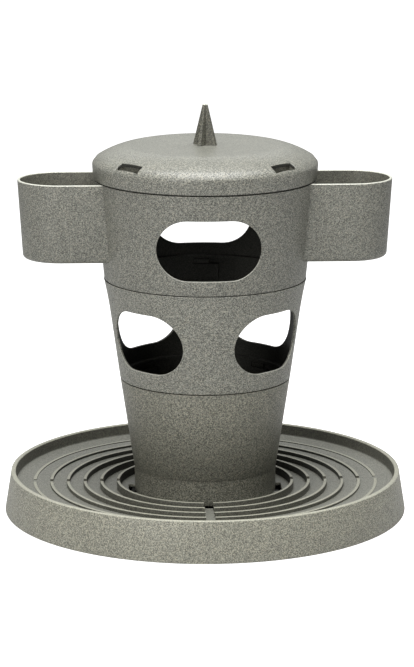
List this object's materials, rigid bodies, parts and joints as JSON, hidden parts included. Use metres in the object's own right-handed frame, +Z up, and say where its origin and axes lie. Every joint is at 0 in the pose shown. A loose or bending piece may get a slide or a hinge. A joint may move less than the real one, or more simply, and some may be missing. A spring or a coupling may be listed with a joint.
{
  "type": "poultry feeder",
  "caption": "Free-standing poultry feeder: ribbed round tray, stacked tower with pecking windows, side pockets, lift-off domed lid and a spike for whole food.",
  "frame": {"origin": "middle of the ring that the tray stands on, at ground level", "axes": "+Z up along the tower's axis, -Y towards the front window of the upper section, X through both side pockets"},
  "size_m": [0.38, 0.38, 0.3855],
  "materials": {
    "speckled_plastic": "matt grey-green plastic with fine light and dark specks"
  },
  "bodies": {
    "tray": {"tray": "speckled_plastic"},
    "lower": {"lower_section": "speckled_plastic"},
    "middle": {"middle_section": "speckled_plastic"},
    "upper": {"upper_section": "speckled_plastic", "left_pocket": "speckled_plastic", "right_pocket": "speckled_plastic"},
    "lid": {"lid": "speckled_plastic"},
    "spike": {"spike": "speckled_plastic"}
  },
  "joints": [
    {"name": "foot_twist", "type": "hinge", "parent": "tray", "child": "lower", "pos_m": [0, 0, 0.018], "axis": [0, 0, 1], "range_deg": [0, 16]},
    {"name": "middle_twist", "type": "hinge", "parent": "lower", "child": "middle", "pos_m": [0, 0, 0.128], "axis": [0, 0, 1], "range_deg": [0, 16]},
    {"name": "upper_twist", "type": "hinge", "parent": "middle", "child": "upper", "pos_m": [0, 0, 0.2232], "axis": [0, 0, 1], "range_deg": [0, 16]},
    {"name": "lid_lift", "type": "slide", "parent": "upper", "child": "lid", "axis": [0, 0, 1], "range_m": [0, 0.08]},
    {"name": "spike_pull", "type": "slide", "parent": "lid", "child": "spike", "axis": [0, 0, 1], "range_m": [0, 0.02]}
  ]
}
